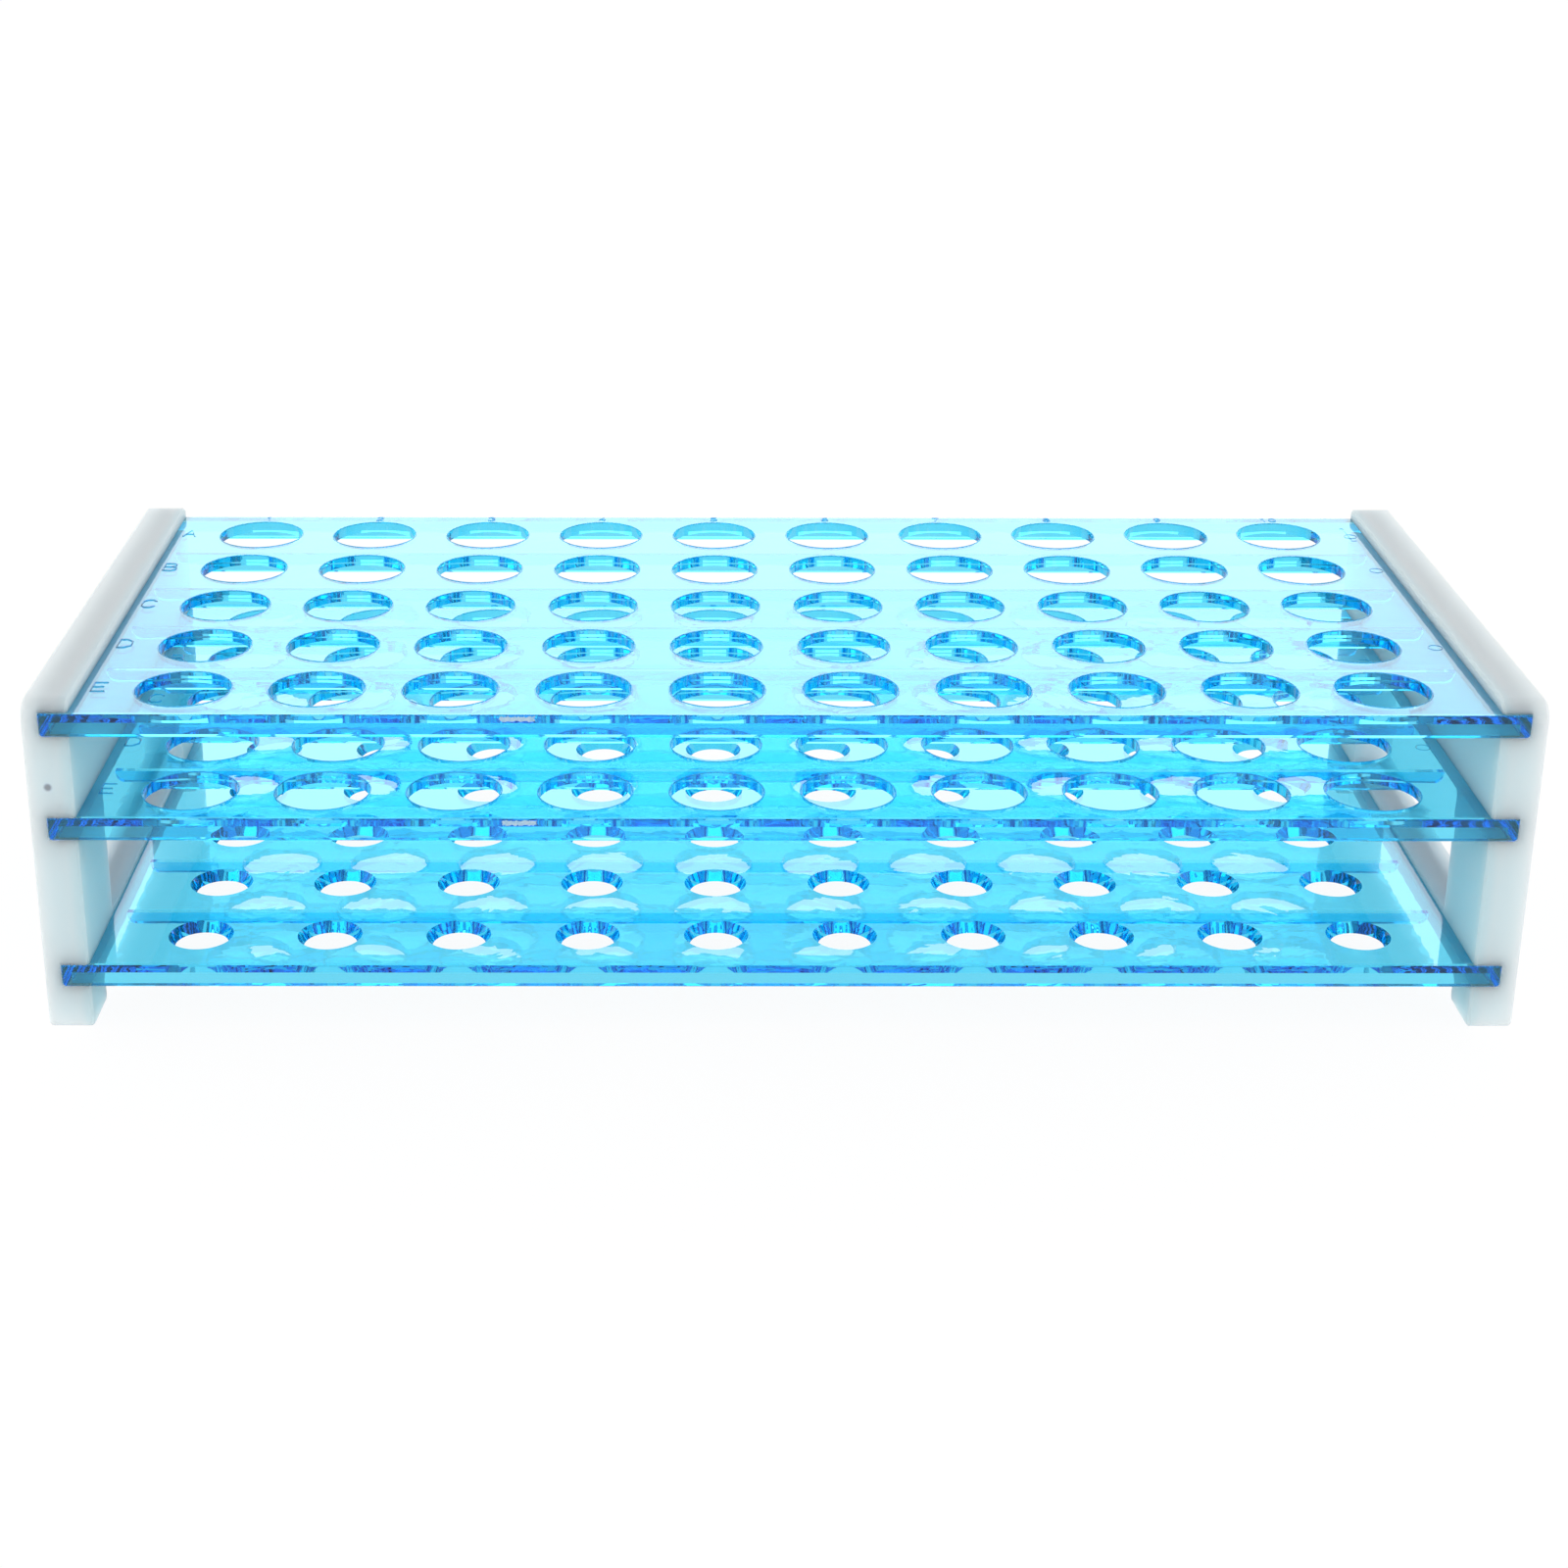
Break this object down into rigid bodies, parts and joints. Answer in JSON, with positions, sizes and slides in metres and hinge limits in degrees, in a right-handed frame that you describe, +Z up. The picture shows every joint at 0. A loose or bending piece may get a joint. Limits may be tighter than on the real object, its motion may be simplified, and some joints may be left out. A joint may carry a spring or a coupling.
{
  "type": "test tube rack",
  "caption": "Bench rack for test tubes: clear perforated tray shelves held one above another between two grooved opal end panels with finger windows and feet.",
  "frame": {"origin": "on the bench, under the middle of the rack", "axes": "+X along the rows of wells to the right as seen from the front, +Y to the back row A, +Z up"},
  "size_m": [0.2464, 0.1054, 0.0588],
  "materials": {
    "opal_panel": "satin",
    "clear_blue": "polished"
  },
  "bodies": {
    "root": {"right_end_panel": "opal_panel", "left_end_panel": "opal_panel", "top_shelf": "clear_blue", "middle_shelf": "clear_blue", "bottom_shelf": "clear_blue"}
  },
  "joints": []
}
